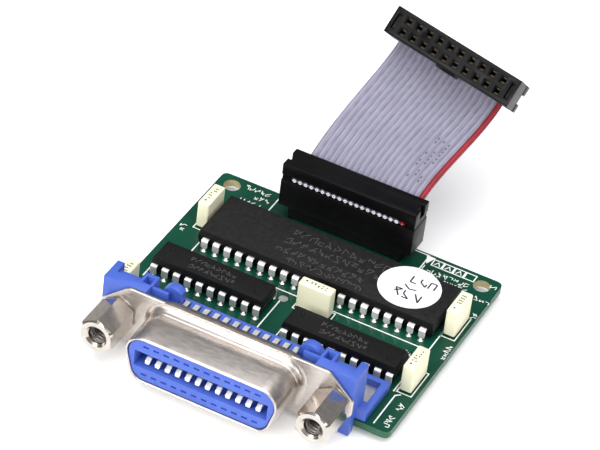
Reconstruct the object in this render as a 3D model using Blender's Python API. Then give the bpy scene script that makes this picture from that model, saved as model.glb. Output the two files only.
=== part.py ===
"""Instrument-bus interface board: a small printed circuit with three dual in-line chips, five box
capacitors, a shielded 24-contact receptacle in a right-angle bracket, and a short ribbon cable that
plugs onto a 20-pin header and ends in a second 20-way socket.

Lengths in the code are millimetres and become metres as each object is made. X runs along the
receptacle, the receptacle faces -Y, Z is up, and the board's underside is Z = 0."""

import math

import bmesh
import bpy
import numpy as np
from mathutils import Matrix, Vector

# ---- driving dimensions, mm ----
BOARD_X, BOARD_Y, BOARD_T = 63.4, 53.0, 1.6
MOUNT_HOLE_D, MOUNT_HOLE_X, MOUNT_HOLE_Y = 3.6, 28.3, 23.3
PITCH = 2.54  # chip leads and header pins
TAIL_Z = -1.5  # how far the soldered ends reach below the board
CONTACT_PITCH = 2.16
BUS_X, BUS_Z = -2.4, 6.2  # centre of the 24-contact receptacle
JACK_OFFSET = 23.1
FLANGE_Y0, FLANGE_Y1 = -29.3, -28.6
FACE_Y = -39.4
RIBBON_PITCH, WIRES = 1.27, 20
PLUG_X, PLUG_Y, PLUG_Z = -1.45, 23.1, 4.45  # mating face of the board-side socket
SOCKET_L, SOCKET_W, SOCKET_H = 29.8, 6.0, 10.25
RIBBON_W = 6.95  # ribbon's height above a socket's mating face
RIBBON_STEPS = 7

# name: (centre x, centre y, leads a side, row spacing, body length, body width)
CHIPS = {
    "bus_controller": (0.93, 9.22, 20, 15.24, 52.2, 13.7),
    "transceiver_left": (-16.4, -7.2, 10, 7.62, 24.7, 6.35),
    "transceiver_right": (13.99, -10.2, 10, 7.62, 24.7, 6.35),
}
CHIP_Z0, CHIP_ZL, CHIP_Z1 = 2.1, 3.95, 5.55  # body underside, lead level, body top

# name: (centre x, centre y, True when its length runs along Y)
CAPACITORS = {
    "capacitor_back_left": (-26.9, 10.8, True),
    "capacitor_front_left": (-29.65, -19.3, True),
    "capacitor_middle": (3.7, -2.6, False),
    "capacitor_back_right": (29.25, 8.9, True),
    "capacitor_front_right": (29.25, -10.75, True),
}
CAP_L, CAP_W, CAP_Z0, CAP_Z1, CAP_LEADS = 7.2, 2.5, 1.9, 8.1, 5.0

# Far socket at rest: centre of its mating face, its row direction and its short direction.
FAR_CENTRE = Vector((5.0, 49.3, 33.0))
FAR_ROW = Vector((0.981, -0.065, -0.181)).normalized()
FAR_SHORT = Vector((0.179, 0.653, 0.736))

MM = 0.001


def start_empty():
    for obj in list(bpy.data.objects):
        bpy.data.objects.remove(obj, do_unlink=True)


def material(name, colour, metallic=0.0, roughness=0.5):
    made = bpy.data.materials.new(name)
    made.use_nodes = True
    shader = made.node_tree.nodes["Principled BSDF"]
    shader.inputs["Base Color"].default_value = (*colour, 1.0)
    shader.inputs["Metallic"].default_value = metallic
    shader.inputs["Roughness"].default_value = roughness
    return made


def add(name, bm, mat, place=None, smooth=False):
    """Turns a bmesh in millimetres into a linked object in metres."""
    bmesh.ops.recalc_face_normals(bm, faces=bm.faces)
    if bm.calc_volume(signed=True) < 0:
        bmesh.ops.reverse_faces(bm, faces=bm.faces)
    bm.transform(Matrix.Scale(MM, 4) @ (place or Matrix()))
    mesh = bpy.data.meshes.new(name)
    bm.to_mesh(mesh)
    bm.free()
    for face in mesh.polygons:
        face.use_smooth = smooth
    mesh.materials.append(mat)
    obj = bpy.data.objects.new(name, mesh)
    bpy.context.scene.collection.objects.link(obj)
    return obj


def cutter(name, bm, place=None):
    obj = add(name, bm, HELPER, place)
    obj.hide_render = True
    obj.display_type = "WIRE"
    return obj


def boolean(obj, other, operation):
    step = obj.modifiers.new(other.name, "BOOLEAN")
    step.operation = operation
    step.object = other
    step.solver = "EXACT"


def blocks(solid, holes=()):
    """The union of axis-aligned boxes (x0, x1, y0, y1, z0, z1), less the boxes in holes, as one skin."""
    every = np.round(np.array(list(solid) + list(holes), float), 5)
    cuts = [np.unique(every[:, 2 * a : 2 * a + 2]) for a in range(3)]
    full = np.zeros([len(c) - 1 for c in cuts], bool)
    for i, box in enumerate(every):
        span = tuple(
            slice(*np.searchsorted(cuts[a], box[2 * a : 2 * a + 2])) for a in range(3)
        )
        full[span] = i < len(solid)
    bm = bmesh.new()
    made = {}

    def vert(key):
        if key not in made:
            made[key] = bm.verts.new([cuts[a][key[a]] for a in range(3)])
        return made[key]

    padded = np.pad(full, 1)
    for axis in range(3):
        others = [a for a in range(3) if a != axis]
        change = np.diff(padded.astype(int), axis=axis)
        for found in np.argwhere(change):
            base = found - 1
            base[axis] = found[axis]
            loop = []
            for p, q in ((0, 0), (1, 0), (1, 1), (0, 1)):
                key = base.copy()
                key[others[0]] += p
                key[others[1]] += q
                loop.append(vert(tuple(int(k) for k in key)))
            bm.faces.new(loop)
    bmesh.ops.recalc_face_normals(bm, faces=bm.faces)
    bmesh.ops.dissolve_limit(
        bm, angle_limit=0.01, verts=bm.verts, edges=bm.edges, use_dissolve_boundaries=False
    )
    return bm


def skin(loops):
    """A closed solid through loops of equally many points, capped at both ends."""
    bm = bmesh.new()
    rings = [[bm.verts.new(p) for p in loop] for loop in loops]
    for a, b in zip(rings, rings[1:]):
        for i in range(len(a)):
            j = (i + 1) % len(a)
            bm.faces.new((a[i], a[j], b[j], b[i]))
    bm.faces.new(list(reversed(rings[0])))
    bm.faces.new(rings[-1])
    return bm


def tube(loops):
    """A closed ring-shaped solid: the last loop joins the first again."""
    bm = bmesh.new()
    rings = [[bm.verts.new(p) for p in loop] for loop in loops]
    for a, b in zip(rings, rings[1:] + rings[:1]):
        for i in range(len(a)):
            j = (i + 1) % len(a)
            bm.faces.new((a[i], a[j], b[j], b[i]))
    return bm


def circle(radius, count, phase=0.0):
    step = 2 * math.pi / count
    return [
        (radius * math.cos(phase + i * step), radius * math.sin(phase + i * step))
        for i in range(count)
    ]


def rods(places, radius, z0, z1, count=8):
    """Upright prisms at each (x, y), as one mesh of separate islands."""
    bm = bmesh.new()
    for x, y in places:
        ends = [
            [bm.verts.new((x + a, y + b, z)) for a, b in circle(radius, count, math.pi / count)]
            for z in (z0, z1)
        ]
        bm.faces.new(list(reversed(ends[0])))
        bm.faces.new(ends[1])
        for i in range(count):
            j = (i + 1) % count
            bm.faces.new((ends[0][i], ends[0][j], ends[1][j], ends[1][i]))
    return bm


def rounded(corners, radii, steps=4):
    """A convex polygon with each corner turned on its own radius."""
    out = []
    n = len(corners)
    for i, (corner, r) in enumerate(zip(corners, radii)):
        here = Vector(corner)
        to_last = (Vector(corners[i - 1]) - here).normalized()
        to_next = (Vector(corners[(i + 1) % n]) - here).normalized()
        half = to_last.angle(to_next) / 2
        centre = here + (to_last + to_next).normalized() * (r / math.sin(half))
        a = here + to_last * (r / math.tan(half)) - centre
        b = here + to_next * (r / math.tan(half)) - centre
        for k in range(steps + 1):
            out.append(tuple(centre + a.slerp(b, k / steps, a) * r))
    return out


def comb(path, widths, centres, thickness, bar=None):
    """Flat strips side by side, bent along path, a list of (y, z). widths[k] is the half-width of a
    strip between bends k and k + 1. The interval `bar` is one web that joins all the strips."""
    bm = bmesh.new()
    points = [Vector(p) for p in path]
    last = len(points) - 1
    normals = []
    for k in range(last + 1):
        before = (points[k] - points[max(k - 1, 0)]).normalized() if k else None
        after = (points[min(k + 1, last)] - points[k]).normalized() if k < last else None
        along = (before + after).normalized() if before and after else (before or after)
        normal = Vector((-along.y, along.x))
        if before and after:
            normal /= max(abs(normal.dot(Vector((-after.y, after.x)))), 0.5)
        normals.append(normal)
    made = {}

    def vert(x, k, side):
        key = (round(x, 4), k, side)
        if key not in made:
            p = points[k] + normals[k] * (side * thickness / 2)
            made[key] = bm.verts.new((x, p.x, p.y))
        return made[key]

    def panel(low, high, k):
        for side in (1, -1):
            loop = [vert(x, k, side) for x in low] + [vert(x, k + 1, side) for x in reversed(high)]
            bm.faces.new(loop)

    def wall(x0, k0, x1, k1):
        bm.faces.new((vert(x0, k0, 1), vert(x1, k1, 1), vert(x1, k1, -1), vert(x0, k0, -1)))

    def edges_at(c, k, within):
        found = set()
        for j in (k - 1, k):
            if 0 <= j < last and j != bar:
                found |= {-widths[j], widths[j]}
        return [c + w for w in sorted(found) if abs(w) <= within + 1e-6]

    for k in range(last):
        if k == bar:
            x0, x1 = centres[0] - widths[k], centres[-1] + widths[k]
            rows = []
            for station in (k, k + 1):
                xs = [x for c in centres for x in edges_at(c, station, widths[k])]
                rows.append(sorted({round(x, 4) for x in [x0, *xs, x1]}))
                solid = set()
                for c in centres:
                    w = widths[station - 1] if station == k else widths[min(station, last - 1)]
                    if (station == k and k > 0) or (station == k + 1 and k + 1 < last):
                        solid.add((round(c - w, 4), round(c + w, 4)))
                for a, b in zip(rows[-1], rows[-1][1:]):
                    if (a, b) not in solid:
                        wall(a, station, b, station)
            panel(rows[0], rows[1], k)
            wall(x0, k, x0, k + 1)
            wall(x1, k, x1, k + 1)
            continue
        for c in centres:
            w = widths[k]
            panel(edges_at(c, k, w), edges_at(c, k + 1, w), k)
            wall(c - w, k, c - w, k + 1)
            wall(c + w, k, c + w, k + 1)
            if k == 0:
                wall(c - w, 0, c + w, 0)
            if k + 1 == last:
                wall(c - w, last, c + w, last)
            elif k + 1 != bar and abs(widths[k + 1] - w) > 1e-6:
                small, large = sorted((w, widths[k + 1]))
                wall(c - large, k + 1, c - small, k + 1)
                wall(c + small, k + 1, c + large, k + 1)
    return bm


def spaced(count, pitch, centre=0.0):
    return [centre + (i - (count - 1) / 2) * pitch for i in range(count)]


def plate_outline(x, y, r):
    return rounded([(-x, -y), (x, -y), (x, y), (-x, y)], [r] * 4, 3)


# ---- materials ----
start_empty()
HELPER = material("helper", (0.5, 0.5, 0.5))
BOARD_GREEN = material("board_green", (0.02, 0.12, 0.07), roughness=0.35)
CHIP_BLACK = material("chip_black", (0.03, 0.03, 0.032), roughness=0.45)
TINNED = material("tinned_copper", (0.75, 0.74, 0.72), 1.0, 0.25)
CREAM = material("capacitor_cream", (0.85, 0.84, 0.62), roughness=0.4)
BLACK_PLASTIC = material("socket_black", (0.02, 0.02, 0.022), roughness=0.4)
BUS_BLUE = material("bus_blue", (0.06, 0.11, 0.62), roughness=0.35)
NICKEL = material("nickel", (0.62, 0.58, 0.55), 1.0, 0.3)
GREY_VINYL = material("ribbon_grey", (0.42, 0.4, 0.5), roughness=0.5)
RED_VINYL = material("ribbon_red", (0.42, 0.02, 0.04), roughness=0.5)
PAPER = material("label_white", (0.9, 0.88, 0.9), roughness=0.6)
GOLD = material("contact_gold", (0.8, 0.6, 0.25), 1.0, 0.25)

# ---- lead positions that the board is drilled for ----
BUS_TAILS = spaced(12, CONTACT_PITCH, BUS_X)
UPPER_TAIL_Y, LOWER_TAIL_Y = -22.1, -24.5
HEADER_X = spaced(10, PITCH, PLUG_X)
HEADER_ROWS = (PLUG_Y - PITCH / 2, PLUG_Y + PITCH / 2)
LOCKS = {"left": (BUS_X - 24.0, BUS_X - 22.1), "right": (BUS_X + 22.1, BUS_X + 27.3)}
LOCK_Y = -19.5

small_holes, lead_holes = [], []
for cx, cy, count, rows, _, _ in CHIPS.values():
    for x in spaced(count, PITCH, cx):
        small_holes += [(x, cy - rows / 2), (x, cy + rows / 2)]
for cx, cy, along_y in CAPACITORS.values():
    for side in (-CAP_LEADS / 2, CAP_LEADS / 2):
        small_holes.append((cx, cy + side) if along_y else (cx + side, cy))
small_holes += [(x, y) for x in BUS_TAILS for y in (UPPER_TAIL_Y, LOWER_TAIL_Y)]
lead_holes += [(x, y) for x in HEADER_X for y in HEADER_ROWS]


# ---- circuit board ----
def build_board():
    outline = plate_outline(BOARD_X / 2, BOARD_Y / 2, 1.2)
    board = add(
        "circuit_board",
        skin([[(x, y, z) for x, y in outline] for z in (0.0, BOARD_T)]),
        BOARD_GREEN,
    )
    below, above = -0.5, BOARD_T + 0.5
    boolean(board, cutter("drill_small", rods(small_holes, 0.5, below, above, 6)), "DIFFERENCE")
    boolean(board, cutter("drill_header", rods(lead_holes, 0.6, below, above, 6)), "DIFFERENCE")
    corners = [(s * MOUNT_HOLE_X, MOUNT_HOLE_Y) for s in (-1, 1)]
    mounts = rods(corners, MOUNT_HOLE_D / 2, below, above, 24)
    boolean(board, cutter("drill_mounts", mounts), "DIFFERENCE")
    locks = rods([((a + b) / 2, LOCK_Y) for a, b in LOCKS.values()], 1.2, below, above, 16)
    boolean(board, cutter("drill_locks", locks), "DIFFERENCE")


# ---- dual in-line chips ----
def build_chip(name, cx, cy, count, rows, length, width):
    """Moulded body in two drafted halves round a lead frame, whose two rows of bent leads
    run from inside the body out, down and through the board."""
    loops = []
    for z, inset in ((CHIP_Z0, 0.3), (CHIP_ZL, 0.0), (CHIP_Z1, 0.32)):
        x, y = length / 2 - inset, width / 2 - inset
        loops.append([(cx + a * x, cy + b * y, z) for a, b in ((-1, -1), (1, -1), (1, 1), (-1, 1))])
    body = add(name + "_body", skin(loops), CHIP_BLACK)
    xs = spaced(count, PITCH, cx)
    pockets = []
    for side in (-1, 1):
        y = [cy + side * (width / 2 - d) for d in (1.6, 0.85, -0.6)]
        pockets.append((xs[0] - 0.8, xs[-1] + 0.8, *sorted(y[:2]), CHIP_ZL - 0.19, CHIP_ZL + 0.19))
        for x in xs:
            pockets.append((x - 0.77, x + 0.77, *sorted((y[1], y[2])), CHIP_ZL - 0.19, CHIP_ZL + 0.19))
    boolean(body, cutter(name + "_lead_space", blocks(pockets)), "DIFFERENCE")
    dimple = rods([(cx + length / 2 - 2.4, cy - width / 2 + 2.0)], 0.75, CHIP_Z1 - 0.18, CHIP_Z1 + 1, 16)
    boolean(body, cutter(name + "_dimple", dimple), "DIFFERENCE")
    for side, place in ((-1, "front"), (1, "back")):
        edge, row = width / 2, rows / 2
        path = [
            (edge - 1.5, CHIP_ZL),
            (edge - 0.95, CHIP_ZL),
            (row - 0.1, CHIP_ZL),
            (row, BOARD_T + 0.9),
            (row, TAIL_Z),
        ]
        path = [(cy + side * y, z) for y, z in path]
        leads = comb(path, [0.7, 0.7, 0.7, 0.24], xs, 0.25, bar=0)
        add(f"{name}_{place}_leads", leads, TINNED)


# ---- box capacitors ----
def build_capacitor(name, cx, cy, along_y):
    """A potted box on two wire leads, each in its own node since they are apart electrically."""
    turn = Matrix.Translation((cx, cy, 0)) @ Matrix.Rotation(math.pi / 2 if along_y else 0, 4, "Z")
    bm = blocks([(-CAP_L / 2, CAP_L / 2, -CAP_W / 2, CAP_W / 2, CAP_Z0, CAP_Z1)])
    bmesh.ops.bevel(
        bm, geom=list(bm.edges), offset=0.2, segments=1, profile=0.5, affect="EDGES", material=-1
    )
    body = add(name + "_body", bm, CREAM, turn)
    ends = [(s * CAP_LEADS / 2, 0) for s in (-1, 1)]
    holes = rods(ends, 0.34, CAP_Z0 - 0.5, CAP_Z0 + 1.2, 6)
    boolean(body, cutter(name + "_lead_holes", holes, turn), "DIFFERENCE")
    for end, which in zip(ends, ("a", "b")):
        add(f"{name}_lead_{which}", rods([end], 0.26, TAIL_Z, CAP_Z0 + 1.0, 6), TINNED, turn)


# ---- 20-pin header ----
def build_header():
    """An open pin header on end feet: the pins of a row share a web under the wafer."""
    x0, x1 = PLUG_X - 12.65, PLUG_X + 12.65
    z0, z1 = BOARD_T + 0.06, PLUG_Z - 0.1
    holes = [
        (x - 0.37, x + 0.37, y - 0.37, y + 0.37, z0, z1 + 1) for x in HEADER_X for y in HEADER_ROWS
    ]
    wafer = [(x0, x1, PLUG_Y - 2.6, PLUG_Y + 2.6, z0 + 0.5, z1)]
    for a, b in ((x0, x0 + 0.8), (x1 - 0.8, x1)):
        wafer.append((a, b, PLUG_Y - 2.6, PLUG_Y + 2.6, z0, z1))
    add("header_wafer", blocks(wafer, holes), BLACK_PLASTIC)
    for y, place in zip(HEADER_ROWS, ("front", "back")):
        pins = [(x - 0.32, x + 0.32, y - 0.32, y + 0.32, TAIL_Z, PLUG_Z + 5.1) for x in HEADER_X]
        web = (HEADER_X[0] - 0.32, HEADER_X[-1] + 0.32, y - 0.2, y + 0.2, z0 + 0.05, z0 + 0.42)
        add(f"header_pins_{place}", blocks(pins + [web]), GOLD)


# ---- ribbon sockets ----
def socket_frame(centre, row, short):
    """Places a socket: local u along the row, v towards the ribbon's exit, w away from the mate."""
    row = row.normalized()
    away = row.cross(short).normalized()
    short = away.cross(row)
    turn = Matrix((row, short, away)).transposed().to_4x4()
    return Matrix.Translation(centre) @ turn


def wire_of(row, i):
    """u of the wire that contact i of a row pierces: neighbours go to opposite rows."""
    return spaced(WIRES, RIBBON_PITCH)[2 * i + row]


def prongs(row):
    """The two blades of each contact that straddle its wire."""
    v = (-PITCH / 2, PITCH / 2)[row]
    made = []
    for i in range(10):
        u = wire_of(row, i)
        for s in (-1, 1):
            a, b = sorted((u + s * 0.2, u + s * 0.42))
            made.append((a, b, v - 0.12, v + 0.12, 5.6, 7.6))
    return made


def pierced(first, last):
    """The slit that each pair of blades opens in wires first..last."""
    made = []
    for k in range(first, last + 1):
        u, v = wire_of(0, 0) + k * RIBBON_PITCH, (-PITCH / 2, PITCH / 2)[k % 2]
        made.append((u - 0.47, u + 0.47, v - 0.17, v + 0.17, 6, 8))
    return made


def build_socket(name, place):
    half, side = SOCKET_L / 2, SOCKET_W / 2
    us = spaced(10, PITCH)
    holes = []
    for row, v in enumerate((-PITCH / 2, PITCH / 2)):
        for u in us:
            holes.append((u - 0.85, u + 0.85, v - 0.85, v + 0.85, -1, 0.35))
            holes.append((u - 0.62, u + 0.62, v - 0.76, v + 0.76, 0.35, 6.0))
        holes.append((us[0] - 1.2, us[-1] + 1.2, v - 0.68, v + 0.68, 5.25, 7))
    for s in (-1, 1):
        a, b = sorted((s * 13.25, s * 14.15))
        holes.append((a, b, -1.75, 1.75, -1, 7))
    shape = [(-half, half, -side, side, 0, 6.35), (-2.1, 2.1, side - 0.5, side + 0.55, 0.4, 5.6)]
    add(name + "_body", blocks(shape, holes), BLACK_PLASTIC, place)

    legs = []
    for s in (-1, 1):
        a, b = sorted((s * 13.35, s * 14.05))
        legs.append((a, b, -1.6, 1.6, 0.7, 8))
    top = [(-half, half, -side, side, 7.72, SOCKET_H)]
    notches = [
        (*sorted((s * (half - 0.75), s * (half + 1))), -0.9, 1.2, 7, SOCKET_H + 1) for s in (-1, 1)
    ]
    add(name + "_cover", blocks(top + legs, notches), BLACK_PLASTIC, place)

    for row, label in enumerate(("front", "back")):
        v = (-PITCH / 2, PITCH / 2)[row]
        parts = [(us[0] - 1.1, us[-1] + 1.1, v - 0.62, v + 0.62, 5.35, 5.85)]
        for u in us:
            for s in (-1, 1):
                a, b = sorted((v + s * 0.4, v + s * 0.62))
                parts.append((u - 0.42, u + 0.42, a, b, 1.0, 5.4))
        add(f"{name}_{label}_contacts", blocks(parts + prongs(row)), GOLD, place)


BOARD_SOCKET = socket_frame(Vector((PLUG_X, PLUG_Y, PLUG_Z)), Vector((1, 0, 0)), Vector((0, 1, 0)))
FAR_SOCKET = socket_frame(FAR_CENTRE, FAR_ROW, -FAR_SHORT)


# ---- ribbon cable ----
def ribbon_path():
    """Centre points, width directions and thickness directions, from cut end to cut end."""
    near = [BOARD_SOCKET @ Vector((0, v, RIBBON_W)) for v in (-2.8, 3.1)]
    far = [FAR_SOCKET @ Vector((0, v, RIBBON_W)) for v in (3.1, -2.8)]
    leave = Vector((0.05, 0.84, 0.54))
    arrive = (far[1] - far[0]).normalized()
    a, d = near[-1], far[0]
    b, c = a + leave * 11.0, d - arrive * 8.0
    between = []
    for k in range(1, RIBBON_STEPS):
        t = k / RIBBON_STEPS
        between.append(
            a * (1 - t) ** 3 + b * 3 * t * (1 - t) ** 2 + c * 3 * t * t * (1 - t) + d * t**3
        )
    points = near + between + far
    wide = [BOARD_SOCKET.to_3x3() @ Vector((1, 0, 0)), FAR_SOCKET.to_3x3() @ Vector((1, 0, 0))]
    frames = []
    for i, point in enumerate(points):
        t = min(max((i - 1) / RIBBON_STEPS, 0.0), 1.0)
        across = wide[0].lerp(wide[1], t * t * (3 - 2 * t))
        if i < 2:
            along = points[1] - points[0]
        elif i > len(points) - 3:
            along = points[-1] - points[-2]
        else:
            along = points[i + 1] - points[i - 1]
        along.normalize()
        across = (across - along * across.dot(along)).normalized()
        frames.append((point, across, across.cross(along)))
    return frames


def ribbon_loops(first, last, margin):
    """Cross-sections of wires first..last: a round over each core, a groove between neighbours."""
    us = spaced(WIRES, RIBBON_PITCH)[first : last + 1]
    top = [(us[0] - 0.635 + margin, 0.2)]
    for u in us:
        top += [(u, 0.45), (u + 0.635, 0.25)]
    top[-1] = (us[-1] + 0.635 - margin, 0.2)
    outline = top + [(u, -h) for u, h in reversed(top)]
    return [
        [point + across * u + up * h for u, h in outline] for point, across, up in ribbon_path()
    ]


def build_ribbon():
    grey = add("ribbon_grey_wires", skin(ribbon_loops(0, WIRES - 2, 0.03)), GREY_VINYL)
    red = add("ribbon_red_wire", skin(ribbon_loops(WIRES - 1, WIRES - 1, 0.03)), RED_VINYL)
    for name, place in (("near", BOARD_SOCKET), ("far", FAR_SOCKET)):
        for ribbon, first, last in ((grey, 0, WIRES - 2), (red, WIRES - 1, WIRES - 1)):
            slits = cutter(f"{ribbon.name}_{name}_slits", blocks(pierced(first, last)), place)
            boolean(ribbon, slits, "DIFFERENCE")


# ---- 24-contact receptacle ----
def trapezoid(top, bottom, z0, z1, r_top, r_bottom, steps=4):
    """A symmetric D outline about the receptacle's axis, wider at the top, as (x, z)."""
    corners = [(-bottom, z0), (bottom, z0), (top, z1), (-top, z1)]
    outline = rounded(corners, [r_bottom, r_bottom, r_top, r_top], steps)
    return [(BUS_X + x, BUS_Z + z) for x, z in outline]


def build_insert():
    """The moulding with the mating slot, twelve contact channels above and twelve below."""
    outline = trapezoid(16.6, 13.9, -4.65, 4.75, 3.2, 2.6)
    insert = add(
        "contact_insert",
        skin([[(x, y, z) for x, z in outline] for y in (FACE_Y + 0.35, -27.95)]),
        BUS_BLUE,
    )
    room = [(BUS_X - 14.2, BUS_X + 14.2, -41, -31.5, BUS_Z - 1.85, BUS_Z + 1.85)]
    for x in BUS_TAILS:
        for s in (-1, 1):
            z = sorted((BUS_Z + s * 1.25, BUS_Z + s * 1.9))
            room.append((x - 0.62, x + 0.62, -32, -27, *z))
            z = sorted((BUS_Z + s * 3.15, BUS_Z + s * 3.6))
            room.append((x - 0.6, x + 0.6, -41, FACE_Y + 0.9, *z))
    boolean(insert, cutter("insert_room", blocks(room)), "DIFFERENCE")


def build_contacts():
    """Sprung fingers in the slot that run back, out behind the insert and down to the board."""
    for side, place in ((-1, "lower"), (1, "upper")):
        front = [(-37.9, 1.3), (-36.9, 0.45), (-32.6, 1.55), (-27.75, 1.57)]
        path = [(y, BUS_Z + side * z) for y, z in front]
        if side < 0:
            path += [(-27.3, path[-1][1]), (LOWER_TAIL_Y, path[-1][1]), (LOWER_TAIL_Y, TAIL_Z)]
            widths = [0.5] * 4 + [0.45, 0.25]
        else:
            path += [(-27.4, path[-1][1]), (-26.7, 9.3), (UPPER_TAIL_Y, 9.3)]
            path.append((UPPER_TAIL_Y, TAIL_Z))
            widths = [0.5] * 3 + [0.55, 0.55, 0.55, 0.25]
        add(f"contacts_{place}", comb(path, widths, BUS_TAILS, 0.3, bar=3), TINNED)


def flange_outline():
    half = [(27.2, -1.6), (27.2, 1.6), (21.6, 6.7)]
    corners = [(21.6, -6.7), *half]
    corners += [(-x, z) for x, z in reversed(corners)]
    radii = [2.0, 1.6, 1.6, 2.0, 2.0, 1.6, 1.6, 2.0]
    return [(BUS_X + x, BUS_Z + z) for x, z in rounded(corners, radii, 3)]


def build_shell():
    """Drawn shell: a D-shaped collar with a rolled rim, and the flange that carries the jack sockets."""
    sizes = (  # y, outward offset from the insert's outline
        (FLANGE_Y1, 0.12),
        (FACE_Y + 0.25, 0.12),
        (FACE_Y + 0.02, 0.3),
        (FACE_Y, 0.5),
        (FACE_Y + 0.1, 0.7),
        (FACE_Y + 0.4, 0.82),
        (FLANGE_Y0 - 1.0, 0.82),
        (FLANGE_Y0 - 0.35, 1.05),
        (FLANGE_Y0 + 0.1, 1.5),
        (FLANGE_Y1 - 0.15, 1.5),
    )
    loops = []
    for y, grow in sizes:
        outline = trapezoid(
            16.6 + grow, 13.9 + grow, -4.65 - grow, 4.75 + grow, 3.2 + grow, 2.6 + grow, 5
        )
        loops.append([(x, y, z) for x, z in outline])
    shell = add("receptacle_shell", tube(loops), NICKEL)
    flange = skin([[(x, y, z) for x, z in flange_outline()] for y in (FLANGE_Y0, FLANGE_Y1)])
    boolean(shell, cutter("flange_plate", flange), "UNION")
    opening = trapezoid(16.72, 14.02, -4.77, 4.87, 3.32, 2.72, 5)
    bore = skin([[(x, y, z) for x, z in opening] for y in (FLANGE_Y0 - 0.5, FLANGE_Y1 + 0.5)])
    boolean(shell, cutter("flange_opening", bore), "DIFFERENCE")
    lie = Matrix.Rotation(math.pi / 2, 4, "X")
    axes = [(BUS_X + s * JACK_OFFSET, BUS_Z) for s in (-1, 1)]
    drill = rods(axes, 2.0, -FLANGE_Y1 - 1, -FLANGE_Y0 + 1, 16)
    boolean(shell, cutter("flange_drill", drill, lie), "DIFFERENCE")


def build_rear_shell():
    """The second stamping, behind the flange, that closes over the contact tails."""
    loops = []
    y0, y1 = FLANGE_Y1 + 0.1, -26.75
    for y, grow in ((y0, 0.6), (y1, 0.6), (y1, 1.1), (y0, 1.1)):
        outline = trapezoid(
            16.6 + grow, 13.9 + grow, -4.65 - grow, 4.75 + grow, 3.2 + grow, 2.6 + grow, 3
        )
        loops.append([(x, y, z) for x, z in outline])
    add("rear_shell", tube(loops), NICKEL)


def build_bracket():
    """Right-angle bracket: a block behind each end of the flange, a comb for the tails between
    them, and a frame on each side that stands on the board."""
    base = BOARD_T + 0.05
    solid, holes = [], []
    for s in (-1, 1):
        def box(x0, x1, y0, y1, z0, z1):
            a, b = sorted((BUS_X + s * x0, BUS_X + s * x1))
            return (a, b, y0, y1, z0, z1)

        front, edge = FLANGE_Y1 + 0.1, -26.62
        outer = 26.8 if s > 0 else 27.3
        solid += [
            box(18.2, outer, front, edge, base, 12.8),  # wall behind the flange
            box(24.6, outer, front, edge, -1.2, 12.8),  # foot that hooks over the board's edge
            box(18.2, outer, edge - 0.2, -26.0, base, 12.8),
            box(14.6, 19.6, edge + 0.4, -25.5, base, 12.4),
            box(outer - 1.5, outer, -26.2, -23.0, base, 12.8),  # outer post
            box(18.0, 20.9, -26.2, -23.0, base, 12.8),  # inner post, hollow at the top
            box(20.5, outer - 1.0, -25.4, -24.2, base, 11.9),  # ledge behind the wall
            box(20.5, outer - 1.0, -26.2, -24.2, base, 10.2),  # seat of the threaded sleeve
            box(13.4, 18.4, -25.0, -22.6, base, 9.2),  # root of the round ear
        ]
        holes.append(box(18.6, 20.3, -26.0, -23.8, 9.0, 14))
        reach = 28.9 if s > 0 else 25.6
        solid.append(box(18.4, reach, -26.2, -15.4, base, 3.6))
        holes.append(box(21.9, reach - 1.4, -22.9, -16.6, base - 1, 5))
        holes.append(box(19.5, 21.7, -16.1, -15.0, 2.6, 5))
    solid.append((BUS_X - 15.0, BUS_X + 15.0, -26.3, -21.2, base, 8.9))
    solid.append((BUS_X - 18.4, BUS_X + 18.4, -26.3, -23.2, base, 3.6))
    tails = [(x - 0.65, x + 0.65, -27, UPPER_TAIL_Y + 0.3, 0, 12) for x in BUS_TAILS]
    bracket = add("right_angle_bracket", blocks(solid, holes), BUS_BLUE)
    lie = Matrix.Rotation(math.pi / 2, 4, "X")
    ears = rods([(BUS_X - 14.3, 10.5), (BUS_X + 15.2, 10.5)], 2.4, 22.6, 24.6, 24)
    boolean(bracket, cutter("bracket_ears", ears, lie), "UNION")
    boolean(bracket, cutter("bracket_tail_channels", blocks(tails)), "DIFFERENCE")
    axes = [(BUS_X + s * JACK_OFFSET, BUS_Z) for s in (-1, 1)]
    boolean(bracket, cutter("bracket_stud_bore", rods(axes, 2.0, 23.5, 30, 16), lie), "DIFFERENCE")
    boolean(bracket, cutter("bracket_sleeve_bore", rods(axes, 2.75, 20, 27.2, 20), lie), "DIFFERENCE")


def build_jack_sockets():
    """Hexagonal threaded posts that take the plug's screws; each screws into a sleeve in the bracket."""
    count, flat, pitch = 18, 3.4, 0.8
    back, front = FLANGE_Y0 - 0.08, -38.2
    for s, place in ((-1, "left"), (1, "right")):
        x = BUS_X + s * JACK_OFFSET

        def ring(y, radius=None):
            """A circle about the post's axis, or the hexagon where no radius is given."""
            points = []
            for i in range(count):
                turn = 2 * math.pi * (i + 0.5) / count
                r = radius or flat / math.cos((turn + math.pi / 6) % (math.pi / 3) - math.pi / 6)
                points.append((x + r * math.sin(turn), y, BUS_Z + r * math.cos(turn)))
            return points

        loops = [ring(-24.6, 1.6), ring(back, 1.6), ring(back, 3.3), ring(back - 0.45)]
        loops += [ring(front + 0.6), ring(front, 3.2), ring(front, 2.75), ring(front + 0.85, 1.9)]
        for k in range(5):  # thread crests and roots
            y = front + 1.05 + k * pitch
            loops += [ring(y, 1.6), ring(y + pitch / 2, 1.9)]
        loops.append(ring(front + 1.0 + 5 * pitch, 1.5))
        add(f"jack_socket_{place}", skin(loops), NICKEL)
        sleeve = [ring(-26.95, 1.75), ring(-26.95, 2.6), ring(-24.3, 2.6), ring(-24.3, 1.75)]
        add(f"threaded_sleeve_{place}", tube(sleeve), NICKEL)


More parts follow.
